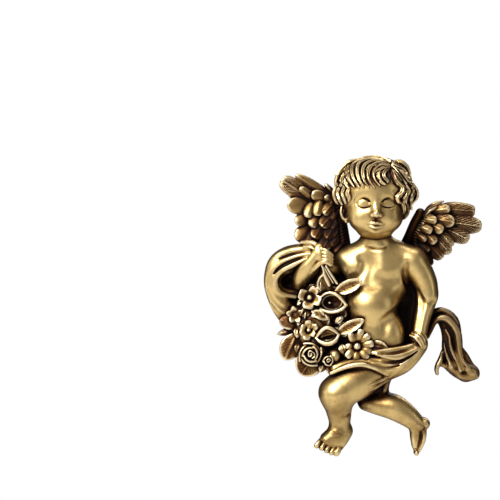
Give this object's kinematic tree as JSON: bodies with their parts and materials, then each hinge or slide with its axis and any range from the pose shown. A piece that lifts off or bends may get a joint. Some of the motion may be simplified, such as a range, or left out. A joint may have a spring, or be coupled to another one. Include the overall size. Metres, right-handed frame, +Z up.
{
  "type": "cherub wall plaque",
  "caption": "Gilded relief of a striding winged cherub that holds a garland of flowers, cast in one piece with a flat back for hanging on a wall.",
  "frame": {"origin": "on the flat back, behind the middle of the chest, where the plaque meets the wall", "axes": "+X to the viewer's right, +Z up, and -Y out from the wall towards the viewer, so the flat back faces +Y"},
  "size_m": [0.1811, 0.0511, 0.2486],
  "materials": {
    "antique_gold": "metallic antique gold paint over cast resin, with dark brown patina in the recesses"
  },
  "bodies": {
    "root": {"cherub_plaque": "antique_gold"}
  },
  "joints": []
}
